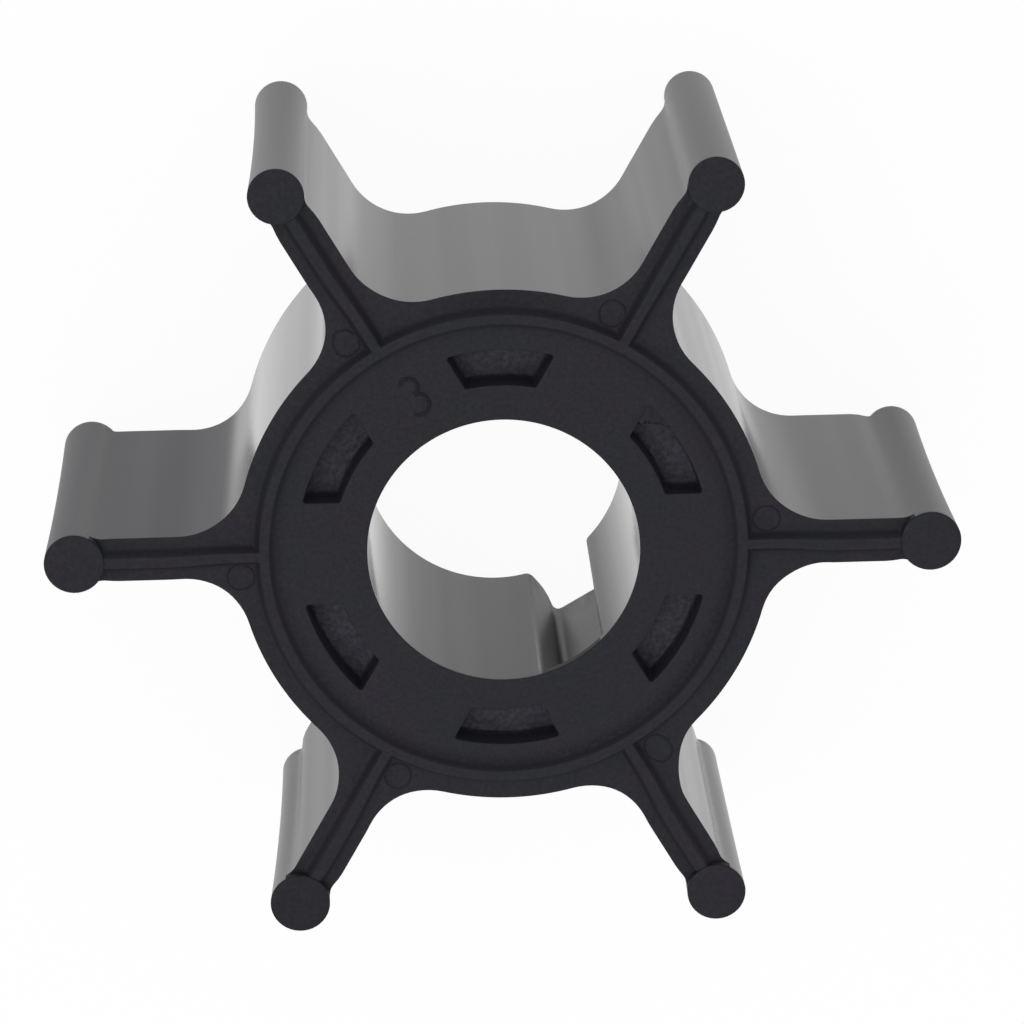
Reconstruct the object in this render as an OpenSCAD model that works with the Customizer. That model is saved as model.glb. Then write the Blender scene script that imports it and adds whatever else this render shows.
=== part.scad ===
// Flexible-vane water pump impeller, moulded in one piece.
// The shaft axis is Z, the back face stands on z = 0 and the marked front face is up.

/* [Vanes] */
// Number of vanes round the hub
vanes = 6; // [4:1:7]
// Radius from the shaft axis to the centre of each tip bulb
tip_r = 19.7; // [18:0.1:24]
// Length of the vanes along the shaft
vane_l = 18; // [15:0.5:26]
// Thickness of a vane
vane_t = 1.95; // [1.5:0.05:2.3]
// Diameter of the round bulb along each vane tip
bulb_d = 2.8; // [2.5:0.05:3.6]
// Radius of the fillet where a vane leaves the hub
root_r = 3.2; // [1.5:0.1:3.6]
// Radius of the fillet where a vane meets its bulb
neck_r = 1.2; // [0.3:0.1:1.4]

/* [Hub] */
// Diameter of the hub between the vanes
hub_d = 24.4; // [24:0.1:26]
// Diameter of the shaft bore
bore_d = 12.55; // [11.5:0.05:13.2]
// Height of the bulb ends over the outer band and the vane ends
band_drop = 0.55; // [0.3:0.05:0.8]
// Height of the bulb ends over the disc inside the ring bead
disc_drop = 0.3; // [0.1:0.05:0.5]

/* [Beads] */
// Distance from the edge of the hub to the middle of the ring bead
ring_inset = 1.2; // [1:0.05:1.4]
// How far the ends of the bulbs stand above the beads
bulb_proud = 0.05; // [0.02:0.01:0.15]
// Width of a bead across its flat top
bead_top = 0.5; // [0.3:0.05:0.7]
// Width of a bead at the level of the outer band
bead_base = 0.95; // [0.8:0.05:1.1]

/* [Pockets] */
// Distance from the middle of the ring bead to the outer edge of a pocket
pocket_land = 1.5; // [1.2:0.05:1.7]
// Width of a pocket along the radius
pocket_w = 1.65; // [0.8:0.05:1.8]
// Depth of a pocket below the disc
pocket_h = 1.5; // [0.5:0.1:2.5]
// Width of the solid spoke between two pockets
spoke_w = 4.9; // [3.5:0.1:5.5]

/* [Keyway] */
// Direction of the keyway round the shaft, in line with a vane
key_angle = -60; // [-180:60:180]
// Width of the keyway
key_w = 3.15; // [2.5:0.05:3.5]
// Depth of the keyway below the wall of the bore
key_h = 2.2; // [1.5:0.1:2.4]
// Thickness of the skin that closes the keyway at the front
key_skin = 0.5; // [0.3:0.1:3]
// Radius in the two corners of the keyway's floor
key_floor_r = 0.4; // [0.1:0.05:0.8]

/* [Back recess] */
// Depth of the round recess at the back, from the ends of the bulbs
recess_h = 2.5; // [1:0.1:3]
// Distance from the keyway's floor out to the wall of the recess
recess_margin = 0.85; // [0.3:0.05:1]

/* [Witness marks] */
// Diameter of the round mark beside each vane root
mark_d = 1.15; // [0.8:0.05:1.2]
// Depth of the mark
mark_h = 0.1; // [0.05:0.05:0.2]
// Gap from the mark to the foot of the beads beside it
mark_gap = 0.05; // [0.02:0.01:0.1]

/* [Hidden] */
$fn = 128;

hub_r = hub_d / 2;
bore_r = bore_d / 2;
bulb_r = bulb_d / 2;
ring_r = hub_r - ring_inset;
pocket_out_r = ring_r - pocket_land;
pocket_in_r = pocket_out_r - pocket_w;
key_floor = bore_r + key_h;
key_top = vane_l - disc_drop - key_skin;
recess_r = key_floor + recess_margin;
bead_h = band_drop - bulb_proud;
mark_out = bead_base / 2 + mark_gap + mark_d / 2;
vane_step = 360 / vanes;
// How far a cutting shape reaches past the surface that it opens
past = 1;
// How far a bead's section reaches down into the solid under it
bead_root = 0.2;

// Centre of a fillet of radius f in the corner between a circle of radius r
// round the origin and a straight side at the height half.
function corner(r, half, f) = [sqrt(pow(r + f, 2) - pow(half + f, 2)), half + f];

// Solid that fills such a corner, before the fillet is cut from it.
module corner_blank(r, half, f) {
    c = corner(r, half, f);
    polygon([[0, 0], c * r / (r + f), c, [c.x, 0]]);
}

// Does the children at every vane, on both sides of it.
module each_vane() {
    for (i = [0:vanes - 1], side = [0, 1]) rotate(i * vane_step) mirror([0, side]) children();
}

// Hub, vanes and bulbs, cut flat at both ends at the level of the outer band.
module core() {
    difference() {
        union() {
            cylinder(r = hub_r, h = vane_l);
            each_vane() linear_extrude(vane_l) {
                square([tip_r, vane_t / 2]);
                corner_blank(hub_r, vane_t / 2, root_r);
                translate([tip_r, 0]) mirror([1, 0]) corner_blank(bulb_r, vane_t / 2, neck_r);
            }
            for (i = [0:vanes - 1]) rotate(i * vane_step)
                translate([tip_r, 0, 0]) cylinder(r = bulb_r, h = vane_l);
        }
        each_vane() {
            translate([each corner(hub_r, vane_t / 2, root_r), 0]) cylinder(r = root_r, h = vane_l);
            translate([tip_r, 0, 0]) mirror([1, 0, 0])
                translate([each corner(bulb_r, vane_t / 2, neck_r), 0]) cylinder(r = neck_r, h = vane_l);
        }
        for (z = [band_drop - 2 * past, vane_l - band_drop]) translate([0, 0, z])
            cylinder(r = tip_r + 2 * bulb_r, h = 2 * past);
    }
}

// The disc inside the ring bead, which ends under the bead.
module disc() {
    translate([0, 0, disc_drop]) cylinder(r = ring_r - bead_top / 4, h = vane_l - 2 * disc_drop);
}

// The bulbs along the vane tips, at their full length.
module bulbs() {
    for (i = [0:vanes - 1]) rotate(i * vane_step)
        translate([tip_r, 0, 0]) cylinder(r = bulb_r, h = vane_l);
}

// Section of a bead over the level of the outer band, with its sloping sides
// carried on below that level so that it roots in the solid.
module bead_section() {
    foot = bead_base / 2 + (bead_base - bead_top) / 2 * bead_root / bead_h;
    polygon([[-foot, -bead_root], [foot, -bead_root],
             [bead_top / 2, bead_h], [-bead_top / 2, bead_h]]);
}

// The ring bead and the rib from it along each vane to inside the bulb, drawn
// for the front face.
module beads() {
    rib_l = tip_r - bulb_r / 2 - ring_r;
    translate([0, 0, vane_l - band_drop]) {
        rotate_extrude() translate([ring_r, 0]) bead_section();
        for (i = [0:vanes - 1]) rotate(i * vane_step)
            translate([ring_r, 0, 0]) rotate([90, 0, 90]) linear_extrude(rib_l) bead_section();
    }
}

// Six pockets in the front of the disc, with sides parallel to the spokes.
module pockets() {
    translate([0, 0, vane_l - disc_drop - pocket_h]) linear_extrude(pocket_h + past)
        difference() {
            circle(r = pocket_out_r);
            circle(r = pocket_in_r);
            for (i = [0:vanes - 1]) rotate(i * vane_step)
                translate([0, -spoke_w / 2]) square([pocket_out_r + past, spoke_w]);
        }
}

// Keyway along +X: a slot with rounded floor corners.
module key_slot() {
    translate([0, -key_w / 2]) square([key_floor - key_floor_r, key_w]);
    translate([0, -key_w / 2 + key_floor_r]) square([key_floor, key_w - 2 * key_floor_r]);
    for (side = [-1, 1]) translate([key_floor - key_floor_r, side * (key_w / 2 - key_floor_r)])
        circle(r = key_floor_r);
}

// Shaft bore, the keyway that stops short of the front, and the back recess.
module shaft_cuts() {
    translate([0, 0, -past]) cylinder(r = bore_r, h = vane_l + 2 * past);
    translate([0, 0, -past]) cylinder(r = recess_r, h = recess_h + past);
    translate([0, 0, recess_h - past]) rotate(key_angle)
        linear_extrude(key_top - recess_h + past) key_slot();
}

// Shallow round marks that the mould leaves beside the vane roots.
module marks() {
    for (i = [0:vanes - 1]) rotate(i * vane_step)
        translate([ring_r + mark_out, mark_out, vane_l - band_drop - mark_h])
            cylinder(d = mark_d, h = mark_h + past);
}

module impeller() {
    color([0.13, 0.13, 0.14]) difference() {
        union() {
            core();
            beads();
            translate([0, 0, vane_l]) mirror([0, 0, 1]) beads();
            bulbs();
            disc();
        }
        pockets();
        shaft_cuts();
        marks();
    }
}

impeller();
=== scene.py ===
import bmesh
import bpy
import numpy as np
from math import radians
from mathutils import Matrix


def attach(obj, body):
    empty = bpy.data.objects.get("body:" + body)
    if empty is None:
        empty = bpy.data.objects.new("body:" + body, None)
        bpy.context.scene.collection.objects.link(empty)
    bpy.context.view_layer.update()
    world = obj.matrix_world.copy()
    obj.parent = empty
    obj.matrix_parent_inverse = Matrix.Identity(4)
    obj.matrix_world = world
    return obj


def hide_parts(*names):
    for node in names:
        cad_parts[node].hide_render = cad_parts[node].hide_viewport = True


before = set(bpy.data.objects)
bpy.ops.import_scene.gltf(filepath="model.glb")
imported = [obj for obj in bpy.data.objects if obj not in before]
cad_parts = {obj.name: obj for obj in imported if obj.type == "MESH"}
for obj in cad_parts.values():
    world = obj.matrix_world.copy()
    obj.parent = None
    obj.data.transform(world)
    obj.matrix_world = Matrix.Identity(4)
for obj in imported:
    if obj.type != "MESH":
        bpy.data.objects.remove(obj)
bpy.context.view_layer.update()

# The camera looks down on the marked face from the +Y side, about 17 degrees
# off the shaft axis, through a long lens a quarter of a metre away.
camera = bpy.data.objects.new("camera", bpy.data.cameras.new("camera"))
bpy.context.scene.collection.objects.link(camera)
camera.data.sensor_width = 36
camera.data.lens = 176.5
camera.data.clip_start = 0.01
camera.location = (-0.00599, 0.07080, 0.23716)
camera.rotation_euler = (radians(-17.417), radians(-1.980), radians(-0.987))
bpy.context.scene.camera = camera

# The impeller is one moulding in black rubber, from a mould whose two halves
# part along the shaft: a hub with a bore and a keyway, and six vanes with a
# round bulb along each tip. Lengths are in mm up to the mesh, in metres.
length = 18.0
half_bay = np.pi / 6

# Side outline of half a bay, from the middle of the bay round the hub, into
# the vane's root, along its side and round the neck to the bulb. Each grid is
# drawn for this half bay, beside the vane on +X, then turned and mirrored.
hub_r, root_r, neck_r = 12.2, 3.2, 1.2
tip_r, bulb_r, vane_half = 19.7, 1.36, 0.975
side_steps = 10


def turned(radius, angle):
    """Points round the shaft, x and y as the last axis: the radius times the
    cosine and the sine of the angle."""
    radius, angle = np.broadcast_arrays(radius, angle)
    return np.stack([radius * np.cos(angle), radius * np.sin(angle)], -1)


def arc(centre, radius, start, end, count):
    """count + 1 points of an arc round a centre, from one angle to another."""
    return np.array(centre) + turned(radius, np.linspace(start, end, count + 1))


def tangent_centre(circle_r, side, fillet_r):
    """Centre of a fillet in the corner of a circle round the origin and a line at
    y = side: its distance from the origin is circle_r + fillet_r."""
    return np.array([np.sqrt((circle_r + fillet_r) ** 2 - (side + fillet_r) ** 2), side + fillet_r])


root_c = tangent_centre(hub_r, vane_half, root_r)
neck_c = np.array([tip_r, 0]) + tangent_centre(bulb_r, vane_half, neck_r) * np.array([-1, 1])
root_start = np.arctan2(root_c[1], root_c[0])
root_split = radians(228)
neck_end = np.arctan2(-neck_c[1], tip_r - neck_c[0])
round_hub = arc((0, 0), hub_r, half_bay, root_start, 9)
round_root = np.concatenate([arc(root_c, root_r, np.pi + root_start, root_split, 6)[1:],
                             arc(root_c, root_r, root_split, 1.5 * np.pi, 8)[1:]])
along_side = np.linspace((root_c[0], vane_half), (neck_c[0], vane_half), side_steps + 1)[1:]
round_neck = arc(neck_c, neck_r, -0.5 * np.pi, neck_end, 5)[1:]
outline = np.concatenate([round_hub, round_root, along_side, round_neck])
outward = np.concatenate([round_hub / hub_r, (root_c - round_root) / root_r,
                          np.tile([[0, 1]], (side_steps, 1)), (neck_c - round_neck) / neck_r])

# The beads, alike on both ends: a ring round the shaft and a rib from it along
# each vane to its bulb. The disc inside the ring is higher than the band
# outside it. The numbers are points across half a bead, middle line to foot.
ring_r, bead_z, band_z, disc_z = 11.0, 17.95, 17.45, 17.7
across = np.array([0, 0.13, 0.21, 0.25, 0.275, 0.31, 0.355, 0.41, 0.48, 0.56])
bay_fan = np.linspace(0, 1, 16)[1:]


def bead(d):
    """Height of a bead at the distance d from its middle, as a share of its full
    height: one over its flat top, then a side that is round at the top and coved
    at the foot, (1 - s ** 1.4) ** 3 with s from 0 at the top's edge to 1 at the foot."""
    s = np.clip((np.abs(d) - across[2]) / (across[-1] - across[2]), 0, 1)
    return (1 - s ** 1.4) ** 3


def with_z(plan, z):
    """Plan points with the height z as a third number."""
    return np.concatenate([plan, np.broadcast_to(z, plan.shape[:-1])[..., None]], -1)


def columns(radius):
    """Points on circles of the given radii, one row each, in half a bay: first
    along lines parallel to the rib, at the angle whose sine is the distance
    from its middle over the radius, then fanned evenly to the bay's middle."""
    radius = np.atleast_1d(radius)[:, None]
    beside = np.arcsin(across[None] / radius)
    out = beside[:, -1:] + bay_fan[None] * (half_bay - beside[:, -1:])
    return turned(radius, np.concatenate([beside, out], 1))


ring_rows = ring_r + np.concatenate([-across[::-1], across[1:]])
ring_plan = columns(ring_rows)
ring_z = np.where(ring_rows < ring_r, disc_z + (bead_z - disc_z) * bead(ring_rows - ring_r),
                  band_z + (bead_z - band_z) * bead(ring_rows - ring_r))[:, None]
outside = ring_rows[:, None] > ring_r
rib_z = np.where(outside, band_z + (bead_z - band_z) * bead(ring_plan[..., 1]), 0)
ring = with_z(ring_plan, np.maximum(ring_z, rib_z))

# The rib, from the ring bead's foot to the bulb, which stands a little higher.
bulb_edge, under_edge = 0.06, 0.004
thin_from, thin_to = 14.7, 18.2
foot_r = ring_r + across[-1]
rib_from = np.sqrt(foot_r ** 2 - across ** 2)
rib_to = tip_r - np.sqrt(bulb_r ** 2 - across ** 2)
along = np.concatenate([np.linspace(rib_from[-1], thin_from, 9), np.linspace(thin_from, thin_to, 11)[1:],
                        np.linspace(thin_to, rib_to[-1], 6)[1:]])
along = (along - rib_from[-1]) / (rib_to[-1] - rib_from[-1])
rib_x = rib_from[None] + along[:, None] * (rib_to - rib_from)[None]
rib_top = band_z + (bead_z - band_z) * bead(across)
rib = np.stack([rib_x, np.broadcast_to(across, rib_x.shape), np.broadcast_to(rib_top, rib_x.shape)], -1)
rib[-1, :, 2] = np.minimum(rib[-1, :, 2], length - bulb_edge - under_edge)

# The flat band between the beads' feet and the outline, with a rounded
# shoulder of the radius edge that dies out where the neck meets the bulb.
edge = 0.03
band_rows = 6
dying = 6
shoulder_r = np.full(len(outline), edge)
shoulder_r[-dying:] *= np.cos(np.linspace(0, np.pi / 2, dying)) ** 2


def ruled(first, last, count):
    """Rows of points on straight lines from one row of points to another: 1 - t
    of the first and t of the last, with t from 0 to 1."""
    t = np.linspace(0, 1, count + 1)[:, None, None]
    return first[None] * (1 - t) + last[None] * t


def eased(plan, normal, size, z, steps=4):
    """Rounds the edge between a flat face at height z and a wall: rows along a
    quarter circle of radius size, inward of plan along normal."""
    a = np.linspace(0, np.pi / 2, steps)[:, None]
    rows = plan[None] - (size * (1 - np.sin(a)))[..., None] * normal[None]
    return with_z(rows, z - size * (1 - np.cos(a)))


bulb_c = np.array([tip_r, 0])
neck_at = np.arctan2(outline[-1, 1], outline[-1, 0] - tip_r)
foot_at = np.pi - np.arcsin(across[-1] / bulb_r)
bead_feet = np.concatenate([columns(foot_r)[0][len(across) - 1:][::-1], rib[1:, -1, :2]])
band = ruled(bead_feet, outline - shoulder_r[:, None] * outward, band_rows)
band[:, -1] = bulb_c + turned(bulb_r, np.linspace(foot_at, neck_at, band_rows + 1))
band = with_z(band, band_z)
shoulder = eased(outline, outward, shoulder_r[None], band_z)
shoulder = np.concatenate([shoulder, with_z(outline, band_z - edge)[None]])

# The bulb's end, a flat disc with a rounded edge. Its points go round it in
# three parts: over the rib, over the band and along the free side.
round_bulb = np.concatenate([np.pi - np.arcsin(across / bulb_r),
                             np.linspace(foot_at, neck_at, band_rows + 1)[1:],
                             np.linspace(neck_at, 0, 15)[1:]])
bulb_plan = bulb_c + turned(bulb_r, round_bulb)
cap_r = np.linspace(0, bulb_r - bulb_edge, 5)[:, None]
cap = with_z(bulb_c + turned(cap_r, round_bulb[None]), length)
cap_edge = eased(bulb_plan, turned(1.0, round_bulb), np.full((1, len(round_bulb)), bulb_edge), length)
held = len(across) + band_rows
step_foot = np.concatenate([rib[-1, :, 2], np.full(band_rows, band_z)])
step = ruled(with_z(bulb_plan[:held], step_foot), with_z(bulb_plan[:held], length - bulb_edge), 2)
free_plan = bulb_plan[held - 1:]
free_rows = (length - bulb_edge, (length - bulb_edge + band_z) / 2, band_z, band_z - edge)
free_top = np.stack([with_z(free_plan, z) for z in free_rows])

# The disc inside the ring bead, with half a pocket. Its rows run from the edge
# of the patch to the pocket's lip, over it, down its wall and in over its floor.
pocket_in, pocket_out, spoke_half, pocket_h, pocket_corner = 7.85, 9.5, 2.45, 1.5, 0.13
lip = 0.05
full_inset = (pocket_out - pocket_in) / 2
bore_r, slot_half, mouth_r = 6.275, 1.575, 0.35
mouth_c = tangent_centre(bore_r, slot_half, mouth_r)
mouth_at = np.arctan2(mouth_c[1], mouth_c[0])
bore_at = np.concatenate([np.linspace(0, mouth_at, 17), np.linspace(mouth_at, half_bay, 9)[1:]])


def pocket_path(inset):
    """Half the pocket's outline, moved in by inset: the inner arc, a corner, the
    side parallel to the spoke, a corner and the outer arc."""
    c = pocket_corner * (1 - inset / full_inset)
    r0, r1, y = pocket_in + inset, pocket_out - inset, spoke_half + inset
    c0 = np.array([np.sqrt((r0 + c) ** 2 - (y + c) ** 2), y + c])
    c1 = np.array([np.sqrt((r1 - c) ** 2 - (y + c) ** 2), y + c])
    a0, a1 = np.arctan2(c0[1], c0[0]), np.arctan2(c1[1], c1[0])
    parts = [arc((0, 0), r0, half_bay, a0, 20), arc(c0, c, np.pi + a0, 1.5 * np.pi, 8),
             np.linspace((c0[0], y), (c1[0], y), 5),
             arc(c1, c, -0.5 * np.pi, a1, 8), arc((0, 0), r1, a1, half_bay, 20)]
    return np.concatenate([parts[0]] + [p[1:] for p in parts[1:]])


ring_foot = columns(ring_r - across[-1])[0]
patch_edge = np.concatenate([turned(bore_r + edge, bore_at[::-1]),
                             np.linspace((bore_r + edge, 0), ring_foot[0], 13)[1:-1], ring_foot])
disc = with_z(ruled(patch_edge, pocket_path(-lip), 6), disc_z)
lip_turn = np.linspace(0, np.pi / 2, 4)
floor_steps = 8
inset_rows = np.concatenate([-lip * (1 - np.sin(lip_turn)), [0.02, 0.05, 0.08, 0.13, 0.22],
                             np.linspace(0.22, full_inset, floor_steps + 1)[1:]])
drop_rows = np.concatenate([lip * (1 - np.cos(lip_turn)), [0.5, 0.95, 1.3, 1.44, pocket_h],
                            np.full(floor_steps, pocket_h)])
pocket = np.stack([with_z(pocket_path(i), disc_z - d) for i, d in zip(inset_rows, drop_rows)])


def all_round(grid, halves=range(12)):
    """Copies of a half bay's grid turned to every vane by the cosine and sine of
    its angle, and mirrored to its other side, or only those numbered in halves."""
    out = []
    for h in halves:
        g = grid * np.array([1, -1, 1]) if h % 2 else grid
        c, s = np.cos(h // 2 * 2 * half_bay), np.sin(h // 2 * 2 * half_bay)
        out.append(np.stack([g[..., 0] * c - g[..., 1] * s, g[..., 0] * s + g[..., 1] * c, g[..., 2]], -1))
    return out


# Every grid of the body has a finish: one of the two named here, or a number between 0 and 1 for a line of
# painted shade on a face, 1 on the walls of the pockets and above 2 on their rough floors, which this also
# paints paler as painted light.
polished, matt_face = -1, 0
grids, finish_and_floor_light = [], []


def keep(copies, mask):
    """Adds grids to the body, with one finish or one for each of their points."""
    grids.extend(copies)
    finish_and_floor_light.extend([np.broadcast_to(mask, copies[0].shape[:2]).ravel()] * len(copies))


# The front grids, and the same ones turned over for the back.
upside_down, lifted = np.array([1, 1, -1]), np.array([0, 0, length])
for g in (ring, rib, band, shoulder, step, free_top, cap_edge, cap):
    keep(all_round(g), polished if g is free_top else matt_face)
    at_bulb = g is free_top or g is step or g is cap_edge
    keep(all_round(g * upside_down + lifted), polished if at_bulb else matt_face)
keep(all_round(disc), matt_face)


def lattice_noise(x, y, size, seed):
    """Smooth random heights from -1 to 1: random numbers on a square lattice of
    that size, blended between its points with the weight 3 t^2 - 2 t^3."""
    table = np.random.default_rng(seed).uniform(-1, 1, (64, 64))
    u, v = x / size + 32, y / size + 32
    i, j = np.floor(u).astype(int), np.floor(v).astype(int)
    s, t = u - i, v - j
    s, t = s * s * (3 - 2 * s), t * t * (3 - 2 * t)
    i, j = i % 64, j % 64
    k, m = (i + 1) % 64, (j + 1) % 64
    return ((table[i, j] * (1 - s) + table[k, j] * s) * (1 - t)
            + (table[i, m] * (1 - s) + table[k, m] * s) * t)


# The pockets' floors are rough and grainy, and each is painted paler by its own amount, as painted light
# against the shade in the pockets; a flash of rubber has closed the far end of one pocket just under the
# disc.
broad, small = (0.05, 0.7, 5), (0.03, 0.2, 6)
# How pale each pocket's floor is painted: its grain, and painted light against its shade.
floor_tone_and_light = np.array([1.45, 1.2, 1.15, 1.45, 1.5, 1.35])
flash_half, flash_from, flash_ragged, flash_slope, flash_drop = 3, 5.55, 0.15, 0.2, 0.05
flash_tone = 0.25
floor_from, floor_slope = 0.04, 0.09
pockets = all_round(pocket)
on_floor = np.clip((inset_rows[:, None] - floor_from) / floor_slope, 0, 1)
for p in pockets:
    p[..., 2] += on_floor * (broad[0] * lattice_noise(p[..., 0], p[..., 1], *broad[1:])
                             + small[0] * lattice_noise(p[..., 0], p[..., 1], *small[1:]))
flash = pockets[flash_half]
cover = flash[..., 1] - flash_from + flash_ragged * lattice_noise(flash[..., 0], flash[..., 1], 0.3, 9)
cover = np.clip(cover / flash_slope, 0, 1)
flash[..., 2] += cover * (np.maximum(flash[..., 2], disc_z - flash_drop) - flash[..., 2])
for h, p in enumerate(pockets):
    tone = floor_tone_and_light[(h // 2 - h % 2) % 6]
    bare = 1 - cover if h == flash_half else 1
    mask = np.where(drop_rows[:, None] > lip + 0.01, 1 + on_floor * tone, matt_face)
    keep([p], mask * bare + flash_tone * (1 - bare))

# The polished side wall of the outline, from one shoulder to the other, with a
# narrow row at both ends that keeps the shoulders' shading off it.
near_end = 0.08
side = np.concatenate([outline, free_plan[1:]])
wall_z = np.linspace(band_z - edge, length - band_z + edge, 9)
wall_z = np.concatenate([wall_z[:1], [wall_z[0] - near_end], wall_z[1:-1],
                         [wall_z[-1] + near_end], wall_z[-1:]])
keep(all_round(np.stack([with_z(side, z) for z in wall_z])), polished)

# The bore, the keyway beside the vane at -60 degrees, which a thin skin closes
# at the front, and the round recess at the back that the keyway opens into.
slot_floor, slot_corner, slot_top, recess_z, recess_r = 8.475, 0.4, 17.2, 2.5, 9.325
corner_c = (slot_floor - slot_corner, slot_half - slot_corner)
slot = np.concatenate([np.linspace((slot_floor, 0), (slot_floor, slot_half - slot_corner), 4),
                       arc(corner_c, slot_corner, 0, np.pi / 2, 4)[1:],
                       np.linspace((slot_floor - slot_corner, slot_half), (mouth_c[0], slot_half), 5)[1:],
                       arc(mouth_c, mouth_r, -np.pi / 2, mouth_at - np.pi, 5)[1:]])
circle = turned(bore_r, bore_at)
slotted = np.concatenate([slot, circle[len(slot):]])
full_edge = np.full((1, len(circle)), edge)
keep(all_round(eased(circle, -turned(1.0, bore_at), full_edge, disc_z)), matt_face)
slot_halves = [10, 11]
plain = [h for h in range(12) if h not in slot_halves]
skin = np.stack([with_z(circle, z) for z in (disc_z - edge, 17.5, slot_top)])
keep(all_round(skin), polished)
bore_z = np.linspace(slot_top, recess_z, 7)
keep(all_round(np.stack([with_z(circle, z) for z in bore_z]), plain), polished)
keep(all_round(np.stack([with_z(slotted, z) for z in bore_z]), slot_halves), polished)
keep(all_round(with_z(ruled(circle[:len(slot)], slot, 3), slot_top), slot_halves), polished)
recess_rim = columns(recess_r)[0]
rim_end = np.arctan2(recess_rim[:, 1], recess_rim[:, 0])
low = length - disc_z
for path, halves in ((circle, plain), (slotted, slot_halves)):
    rim_at = np.arctan2(path[:, 1], path[:, 0])
    keep(all_round(with_z(ruled(path, turned(recess_r, rim_at), 4), recess_z), halves), matt_face)
    t = np.linspace(0, 1, 5)[:, None]
    keep(all_round(with_z(turned(recess_r, rim_at * (1 - t) + rim_end * t),
                          recess_z * (1 - t) + (low + edge) * t), halves), matt_face)
rounded = eased(recess_rim, -turned(1.0, rim_end), full_edge, 0)
rounded[..., 2] = low - rounded[..., 2]
keep(all_round(rounded), matt_face)
keep(all_round(with_z(ruled(rounded[0, :, :2], ring_foot, 4), low)), matt_face)


def thread(path, size, sides=8):
    """A round thread along a level path, one row of points round each point of
    the path: size times the cosine of an angle aside and times its sine upward.
    Size is the radius at each point, and may be 0 at the ends."""
    tangent = np.gradient(path[:, :2], axis=0)
    tangent /= np.hypot(*tangent.T)[:, None]
    a = np.linspace(0, 2 * np.pi, sides + 1)[None]
    aside = (size[:, None] * np.cos(a))[..., None]
    cross = np.stack([tangent[:, 1], -tangent[:, 0]], -1)[:, None] * aside
    rise = path[:, None, 2] + size[:, None] * np.sin(a)
    return np.concatenate([path[:, None, :2] + cross, rise[..., None]], -1)


# The round witness mark beside each vane's root, one of them ragged, and the
# cavity's numeral, all left by the mould as fine raised outlines.
# How dark the painted shade along the marks' and the numeral's lines is.
mark_shade, numeral_shade = 0.6, 0.8
mark_at, mark_r, mark_size = np.array([12.08, 1.08]), 0.59, 0.075
round_mark = np.linspace(0, 2 * np.pi, 41)
for k in range(6):
    ragged = 0.05 * np.sin(3 * round_mark + 1) + 0.04 * np.sin(7 * round_mark) if k == 2 else 0
    path = mark_at + turned(mark_r * (1 + ragged), round_mark)
    mark_ring = thread(with_z(path, band_z - 0.05), np.full(len(path), mark_size))
    mark_ring[-1] = mark_ring[0]
    keep(all_round(mark_ring, [2 * k]), mark_shade)
numeral = np.concatenate([arc((0, 0.46), 0.42, radians(160), radians(-80), 16),
                          arc((0, -0.45), 0.5, radians(80), radians(-155), 18)])
numeral_at, lean, stroke = np.array([-3.97, 7.44]), radians(118) - np.pi / 2, 0.12
upright = np.array([[np.cos(lean), np.sin(lean)], [-np.sin(lean), np.cos(lean)]])
numeral = numeral_at + numeral @ upright
from_end = np.arange(len(numeral))
from_end = np.minimum(from_end, from_end[::-1])
keep([thread(with_z(numeral, disc_z - 0.06), stroke * np.sqrt(np.clip(from_end / 3, 0, 1)))], numeral_shade)

# All the grids as one list of vertices, each face with its own grid's finish.
verts, quads, masks, base = [], [], [], 0
for g, m in zip(grids, finish_and_floor_light):
    n, k = g.shape[:2]
    i = base + np.arange(n * k).reshape(n, k)
    quads.append(np.stack([i[:-1, :-1], i[1:, :-1], i[1:, 1:], i[:-1, 1:]], -1).reshape(-1, 4))
    verts.append(g.reshape(-1, 3))
    masks.append(m)
    base += n * k
verts, quads, masks = np.concatenate(verts), np.concatenate(quads), np.concatenate(masks).astype(float)


def ramp(v, lo, hi):
    """Smooth step from 0 at lo to 1 at hi, 3 t^2 - 2 t^3 between them."""
    t = np.clip((v - lo) / (hi - lo), 0, 1)
    return t * t * (3 - 2 * t)


def line(v, width):
    """1 where v is 0, falling off as exp(-(v / width) ** 2)."""
    return np.exp(-(v / width) ** 2)


# Where each vertex lies: its vane, its bay, its place along and beside the
# vane, and its height as a share of the length.
radius = np.hypot(verts[:, 0], verts[:, 1])
vane_no = np.round(np.arctan2(verts[:, 1], verts[:, 0]) / (2 * half_bay))
c, s = np.cos(vane_no * 2 * half_bay), np.sin(vane_no * 2 * half_bay)
vane_no = vane_no.astype(int) % 6
on_vane, beside = verts[:, 0] * c + verts[:, 1] * s, verts[:, 1] * c - verts[:, 0] * s
up = verts[:, 2] / length
bay_no = (vane_no - (beside < 0)) % 6
side_no = vane_no * 2 + (beside < 0)

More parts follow.
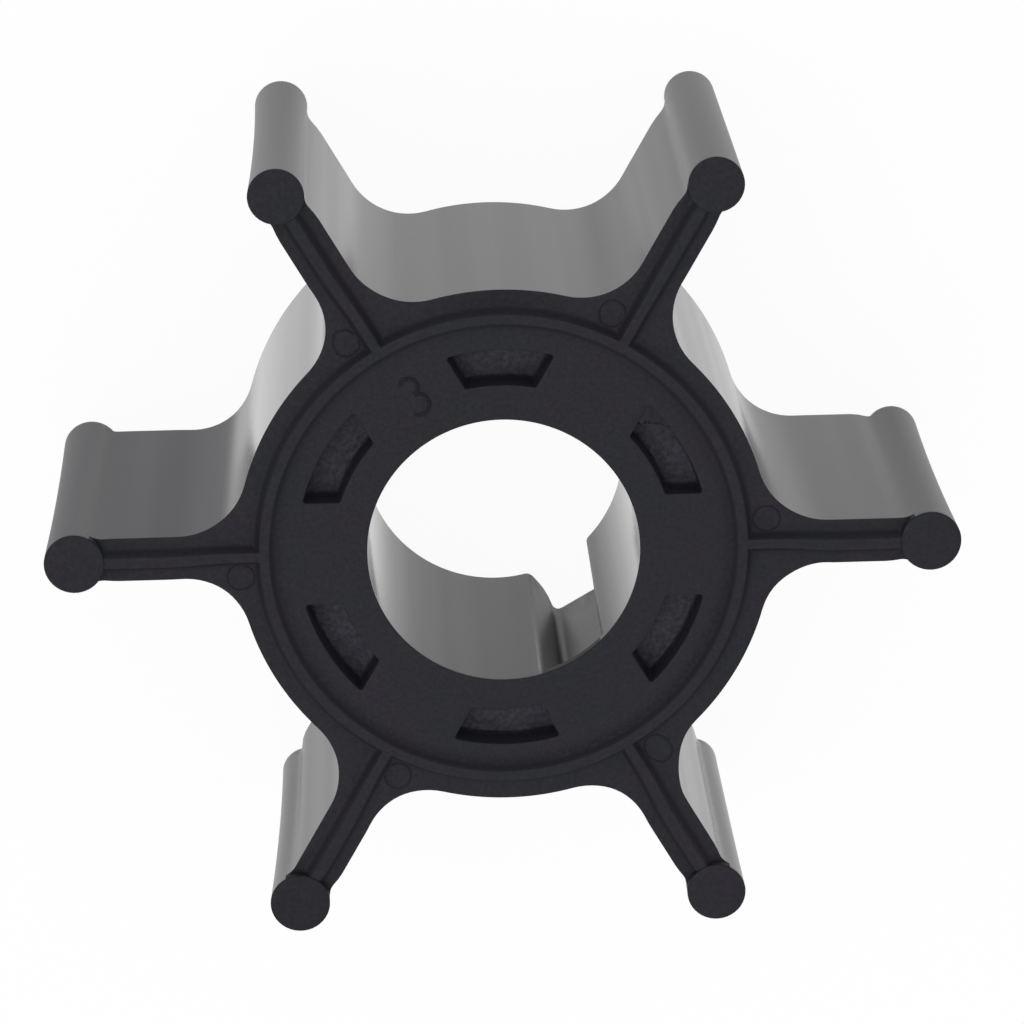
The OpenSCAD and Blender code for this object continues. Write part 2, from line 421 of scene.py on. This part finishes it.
# How far each vane stands out of true, at its back and at its front: its body
# sideways and in thickness, and its bulb sideways, outward and in size. The
# waist is how much thinner a bulb is half way along.
body_aside = np.array([[-0.02, -0.12], [-0.06, 0], [0.02, 0.12],
                       [-0.05, 0.10], [0.1, 0.07], [-0.08, -0.15]])
body_wide = np.array([[0.05, 0.06], [0.10, 0.05], [0.05, 0.05],
                      [0.07, 0.05], [0.05, 0.08], [0.05, 0.09]])
bulb_aside = np.array([[-0.10, -0.065], [0.02, -0.03], [0.018, 0.134],
                       [-0.12, 0.08], [0.27, 0.0], [-0.16, -0.15]])
bulb_out = np.array([[0, -0.03], [0.03, -0.02], [-0.01, -0.03],
                     [-0.04, 0.01], [-0.09, 0.0], [0.05, -0.06]])
bulb_size = np.array([[1.30, 1.40], [1.215, 1.285], [1.264, 1.29],
                      [1.36, 1.385], [1.25, 1.395], [1.25, 1.37]]) / bulb_r
waist = np.array([0.3, 0, 0.3, 0.22, 0.3, 0.05])


def at_height(pairs):
    """For each vertex, the pair of its vane mixed by its height."""
    return pairs[vane_no, 0] * (1 - up) + pairs[vane_no, 1] * up


# The same moulding's other faults: the hub swells towards the front, most in
# the last bay, one wall of the keyway is pinched in, and the shaft's holes sit
# a little off the middle.
shaft_aside, pinch = 0.07, 0.15
in_body, in_bulb = ramp(on_vane, 12.4, 15.5), ramp(on_vane, 17.7, 18.7)
grow = at_height(bulb_size) - 1 - waist[vane_no] * up * (1 - up)
fuller = (bay_no == 5) * ramp(np.abs(beside), 0.5, 0.95) * (0.12 + 0.1 * ramp(on_vane, 12.0, 13.2))
swell = ramp(radius, 11.58, 12.1) * (1 - ramp(on_vane, 13.5, 16)) * ((0.09 + fuller) * up - 0.02)
slot_wall = (side_no == 11) * (radius < slot_floor + 0.125) * ramp(-beside, 1.1, 1.5)
pinched = slot_wall * np.sin(np.pi * np.clip((on_vane - 6.2) / (slot_floor - 6.2), 0, 1))
along_to = on_vane + in_bulb * (at_height(bulb_out) + (on_vane - tip_r) * grow)
beside_to = beside * (1 + (in_body - in_bulb) * at_height(body_wide)) + pinch * pinched
beside_to += (in_body - in_bulb) * at_height(body_aside) + in_bulb * (
    at_height(bulb_aside) + beside * grow)
verts[:, 0], verts[:, 1] = along_to * c - beside_to * s, along_to * s + beside_to * c
verts[:, :2] *= (1 + swell / radius)[:, None]
in_shaft = np.where(verts[:, 2] > slot_top + 0.1, 1 - ramp(radius, 6.4, 7.6), 1 - ramp(radius, 8.6, 9.2))
in_shaft *= masks < 0.5
verts[:, 1] -= shaft_aside * in_shaft

# Mask of painted shade in the valleys at the feet of the ring bead, most on one side each, and at the feet
# of the ribs; two faces are also darker as a whole. The lines drawn on the faces join it as painted shade.
toward_shaded_side = verts @ np.array([0.26, -0.97, 0]) / radius
inner_foot = radius - (ring_r - 0.42)
painted_shade_and_dark_faces = (0.55 + 0.4 * toward_shaded_side) * np.where(inner_foot < 0, line(inner_foot, 0.4), line(inner_foot, 0.12))
outer_foot = radius - ring_r - 0.45
painted_shade_and_dark_faces = np.where(radius < ring_r, painted_shade_and_dark_faces, (0.22 - 0.2 * toward_shaded_side) * line(outer_foot, 0.1))
rib_foot = np.abs(beside) - 0.42
painted_shade_and_dark_faces = np.where(on_vane > 11.5, np.maximum(painted_shade_and_dark_faces, 0.5 * line(rib_foot, 0.1)), painted_shade_and_dark_faces)
painted_shade_and_dark_faces *= (np.abs(verts[:, 2] - length / 2) > 8.3) & (on_vane < 18.2)
painted_shade_and_dark_faces += 0.4 * line(verts[:, 0], 2.6) * ramp(verts[:, 1], 11.3, 11.7)
painted_shade_and_dark_faces += 0.3 * (vane_no == 4) * ramp(on_vane, 18.2, 18.6)
drawn = (masks > 0.2) & (masks < 0.9)
painted_shade_and_dark_faces = np.where(drawn, masks, painted_shade_and_dark_faces)
masks = np.where(drawn, matt_face, masks)

# Mask of how dull each polished wall is, from 0 for a gloss to above 2 for
# matt: both sides of each vane, its bulb, the hub in each bay, the bore, and
# the keyway with its floor, corners and front skin.
dull_body = np.array([0.62, 0.75, 0.76, 0.75, 0.36, 0.5, 0.5, 1.08, 0.5, 0.7, 0.4, 0.5])
dull_bulb = np.array([0.9, 0.8, 0.8, 1.0, 0.8, 0.6])
dull_hub = np.array([0.33, 0.62, 0.22, 0.35, 0.35, 0.35])
dull_bore, dull_low, gloss_left = 0.15, 0.66, 0.12
dull_floor, dull_corner, dull_skin = 1.0, 1.15, 1.45
outer = radius > 11
low_side = ramp(-verts[:, 1] / radius, 0.3, 0.75)
left_side = ramp(-verts[:, 0] / radius, 0.4, 0.9)
dull = np.where(outer, dull_hub[bay_no], dull_bore + dull_low * low_side - gloss_left * left_side)
in_slot = ~outer & (np.hypot(verts[:, 0], verts[:, 1] + shaft_aside) > bore_r + 0.02)
dull = np.where(in_slot, np.where(on_vane > slot_floor - 0.25, dull_floor, 1.35 - 0.65 * up), dull)
in_corner = in_slot & (on_vane > slot_floor - 0.45) & (np.abs(beside) > slot_half - 0.45)
dull = np.where(in_corner, dull_corner, dull)
on_skin = (vane_no == 5) & (radius < bore_r + 0.2) & (np.abs(beside) < 1.6)
dull = np.where(on_skin & (verts[:, 2] > slot_top - 0.01), dull_skin, dull)
to_body = ramp(on_vane, 12.1, 13.0) * outer
dull += (dull_body[side_no] - dull) * to_body
dull += 0.5 * (side_no == 7) * ramp(on_vane, 11.2, 11.9) * (1 - ramp(on_vane, 12.1, 13.0)) * outer
dull += (dull_bulb[vane_no] - dull) * ramp(on_vane, 17.7, 19.2)

# Mask of painted light, which greys some walls: the hub in one bay, the keyway, one root, and one side of
# two of the vanes.
painted_light = 0.33 * (bay_no == 2) * outer * (1 - ramp(on_vane, 12.0, 12.8))
painted_light += np.where(in_slot & (masks < -0.5), 0.75 + 0.25 * ramp(slot_floor - on_vane, -0.2, 1.4), 0)
painted_light = np.where(in_corner, 0.5, painted_light)
painted_light += (side_no == 9) * ramp(-beside, 0.1, 0.7) * (
    0.12 * ramp(on_vane, 11.6, 12.6) + 0.28 * ramp(on_vane, 18.0, 18.6))
painted_light += 0.25 * (side_no == 10) * ramp(beside, 0.1, 0.7) * ramp(on_vane, 17.6, 18.4)
painted_light += 0.65 * (side_no == 7) * ramp(on_vane, 11.2, 11.8) * (1 - ramp(on_vane, 12.2, 12.9))

# The closed mesh in metres, with its masks as attributes. The faces take the
# first material and the polished walls the second.
mesh = bpy.data.meshes.new("impeller_body")
mesh.from_pydata(verts * 0.001, [], quads)
for name, values in (("finish_and_floor_light", masks), ("painted_shade_and_dark_faces", painted_shade_and_dark_faces), ("dull", dull), ("painted_light", painted_light)):
    mesh.attributes.new(name, "FLOAT", "POINT").data.foreach_set("value", values)
mesh.polygons.foreach_set("material_index", (masks[quads].mean(1) < -0.5).astype(np.int32))
bm = bmesh.new()
bm.from_mesh(mesh)
bmesh.ops.remove_doubles(bm, verts=bm.verts, dist=4e-7)
bmesh.ops.recalc_face_normals(bm, faces=bm.faces)
bm.to_mesh(mesh)
bm.free()
mesh.shade_smooth()
mesh.set_sharp_from_angle(angle=radians(38))
body = bpy.data.objects.new("impeller_body", mesh)
bpy.context.scene.collection.objects.link(body)
weighted = body.modifiers.new("even normals", "WEIGHTED_NORMAL")
weighted.keep_sharp = True
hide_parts("impeller")
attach(body, "root")


# The moulded faces are matt black rubber from a blasted mould: a faint mottle of tint, a fine grain,
# painted shade in the valleys, and grainy floors in the pockets, painted paler as painted light.
def moulded(name):
    """A new Principled material, with its node tree, links and shader."""
    material = bpy.data.materials.new(name)
    material.use_nodes = True
    tree = material.node_tree
    return material, tree.nodes, tree.links, tree.nodes["Principled BSDF"]


def noise(nodes, links, vector, scale, detail=2.0, rough=0.5):
    """A noise texture on the given vector; its factor runs about 0.3 to 0.7."""
    n = nodes.new("ShaderNodeTexNoise")
    n.inputs["Scale"].default_value = scale
    n.inputs["Detail"].default_value = detail
    n.inputs["Roughness"].default_value = rough
    links.new(vector, n.inputs["Vector"])
    return n.outputs["Fac"]


def mask_of(nodes, name):
    """One of the mesh's masks, by its name."""
    n = nodes.new("ShaderNodeAttribute")
    n.attribute_name = name
    return n.outputs["Fac"]


def between(nodes, links, value, lo, hi, a, b):
    """The value's stretch from lo to hi, mapped to a to b and held there."""
    m = nodes.new("ShaderNodeMapRange")
    for i, v in enumerate((lo, hi, a, b)):
        m.inputs[i + 1].default_value = v
    links.new(value, m.inputs[0])
    return m.outputs[0]


def blend(nodes, links, factor, first, second):
    """Mix of two colours by a factor held between 0 and 1; a colour is a socket
    or three numbers."""
    m = nodes.new("ShaderNodeMix")
    m.data_type = "RGBA"
    links.new(factor, m.inputs[0])
    for i, colour in ((6, first), (7, second)):
        if isinstance(colour, tuple):
            m.inputs[i].default_value = (*colour, 1)
        else:
            links.new(colour, m.inputs[i])
    return m.outputs[2]


def bumped(nodes, links, height, strength, distance):
    """The surface's normal, tilted by a height pattern."""
    n = nodes.new("ShaderNodeBump")
    n.inputs["Strength"].default_value = strength
    n.inputs["Distance"].default_value = distance
    links.new(height, n.inputs["Height"])
    return n.outputs["Normal"]


cool_black, warm_black = (0.0125, 0.0138, 0.0187), (0.0152, 0.0130, 0.0192)
# The colour of the painted shade, and that of the pockets' walls.
painted_shade_black, pocket_black = (0.0030, 0.0022, 0.0058), (0.0190, 0.0175, 0.0235)
# The pocket floors' grain, paler than the face: partly the rough floor's own colour, partly painted light
# against the shade in the pockets.
grain_dark, grain_pale = (0.029, 0.029, 0.038), (0.050, 0.0495, 0.064)
face, nodes, links, shader = moulded("moulded face")
where = nodes.new("ShaderNodeTexCoord").outputs["Object"]
finish_and_floor_light_mask = mask_of(nodes, "finish_and_floor_light")
mottle = between(nodes, links, noise(nodes, links, where, 420, 3), 0.35, 0.65, 0, 1)
fine = noise(nodes, links, where, 5200)
speckle = between(nodes, links, noise(nodes, links, where, 4800, 3, 0.6), 0.38, 0.66, 0, 1)
paint = blend(nodes, links, mottle, cool_black, warm_black)
# Painted shade from its mask darkens the faces.
shade = between(nodes, links, mask_of(nodes, "painted_shade_and_dark_faces"), 0, 1, 0, 0.75)
paint = blend(nodes, links, shade, paint, painted_shade_black)
paint = blend(nodes, links, finish_and_floor_light_mask, paint, pocket_black)
grain = blend(nodes, links, speckle, grain_dark, grain_pale)
on_pit = between(nodes, links, finish_and_floor_light_mask, 1.0, 2.5, 0, 1)
links.new(blend(nodes, links, on_pit, paint, grain), shader.inputs["Base Color"])
links.new(between(nodes, links, fine, 0.3, 0.7, 0.55, 0.75), shader.inputs["Roughness"])
links.new(bumped(nodes, links, fine, 0.25, 0.00003), shader.inputs["Normal"])
shader.inputs["Specular IOR Level"].default_value = 0.2

# The side walls are the same rubber from a polished steel mould: glossier, in a degree that the dull mask
# gives, faintly streaked along the shaft, and greyed in places by painted light.
# The walls' black, and the grey of the painted light laid on some of them.
wall_black, painted_light_grey = (0.0110, 0.0105, 0.0190), (0.295, 0.288, 0.285)
wall, nodes, links, shader = moulded("moulded wall")
stretch = nodes.new("ShaderNodeMapping")
stretch.inputs["Scale"].default_value = (1, 1, 0.015)
links.new(nodes.new("ShaderNodeTexCoord").outputs["Object"], stretch.inputs[0])
streak = noise(nodes, links, stretch.outputs[0], 700, 1, 0.4)
painted_light_colour = blend(nodes, links, mask_of(nodes, "painted_light"), wall_black, painted_light_grey)
links.new(painted_light_colour, shader.inputs["Base Color"])
rough = nodes.new("ShaderNodeMath")
rough.operation = "ADD"
links.new(between(nodes, links, mask_of(nodes, "dull"), -0.1, 2.5, 0.05, 0.91), rough.inputs[0])
links.new(between(nodes, links, streak, 0.35, 0.65, -0.014, 0.014), rough.inputs[1])
links.new(rough.outputs[0], shader.inputs["Roughness"])
links.new(bumped(nodes, links, streak, 0.08, 0.00002), shader.inputs["Normal"])

body.data.materials.append(face)
body.data.materials.append(wall)

# The table under the part is a plain white sheet, lit as any pale floor is,
# which also shows white to the camera and in the part's own gloss.
half = 1.5
table_drop = 0.00002
corners = [(-half, -half, 0), (half, -half, 0), (half, half, 0), (-half, half, 0)]
sheet = bpy.data.meshes.new("table")
sheet.from_pydata(corners, [], [(0, 1, 2, 3)])
table = bpy.data.objects.new("table", sheet)
bpy.context.scene.collection.objects.link(table)
table.location = (0, 0, -table_drop)

white = bpy.data.materials.new("white sheet")
white.use_nodes = True
nodes, links = white.node_tree.nodes, white.node_tree.links
nodes.clear()
lit = nodes.new("ShaderNodeBsdfDiffuse")
lit.inputs["Color"].default_value = (0.9, 0.9, 0.9, 1)
glow = nodes.new("ShaderNodeEmission")
glow.inputs["Color"].default_value = (1, 1, 1, 1)
path = nodes.new("ShaderNodeLightPath")
seen = nodes.new("ShaderNodeMath")
seen.operation = "MULTIPLY_ADD"
seen.inputs[1].default_value = 0.95
links.new(path.outputs["Is Camera Ray"], seen.inputs[0])
links.new(path.outputs["Is Glossy Ray"], seen.inputs[2])
seen_all = nodes.new("ShaderNodeMath")
seen_all.operation = "ADD"
seen_all.use_clamp = True
links.new(seen.outputs[0], seen_all.inputs[0])
links.new(path.outputs["Is Transmission Ray"], seen_all.inputs[1])
mix = nodes.new("ShaderNodeMixShader")
links.new(seen_all.outputs[0], mix.inputs[0])
links.new(lit.outputs[0], mix.inputs[1])
links.new(glow.outputs[0], mix.inputs[2])
out = nodes.new("ShaderNodeOutputMaterial")
links.new(mix.outputs[0], out.inputs["Surface"])
table.data.materials.append(white)

# Studio light: an even pale surround, white to the camera, and one large
# soft box high on the left.
world = bpy.data.worlds.new("surround")
bpy.context.scene.world = world
world.use_nodes = True
nodes, links = world.node_tree.nodes, world.node_tree.links
sky = nodes["Background"]
sky.inputs["Color"].default_value = (1, 1, 1, 1)
path = nodes.new("ShaderNodeLightPath")
level = nodes.new("ShaderNodeMath")
level.operation = "MULTIPLY_ADD"
level.inputs[1].default_value = 0.25
level.inputs[2].default_value = 0.75
links.new(path.outputs["Is Camera Ray"], level.inputs[0])
links.new(level.outputs[0], sky.inputs["Strength"])

box_light = bpy.data.objects.new("soft box", bpy.data.lights.new("soft box", "AREA"))
bpy.context.scene.collection.objects.link(box_light)
box_light.data.shape = "DISK"
box_light.data.size = 1.2
box_light.data.energy = 6.2
box_light.location = (-0.35, -0.1, 1.3)
box_light.rotation_euler = (radians(4), radians(-15), 0)

bpy.context.scene.view_settings.view_transform = "Standard"
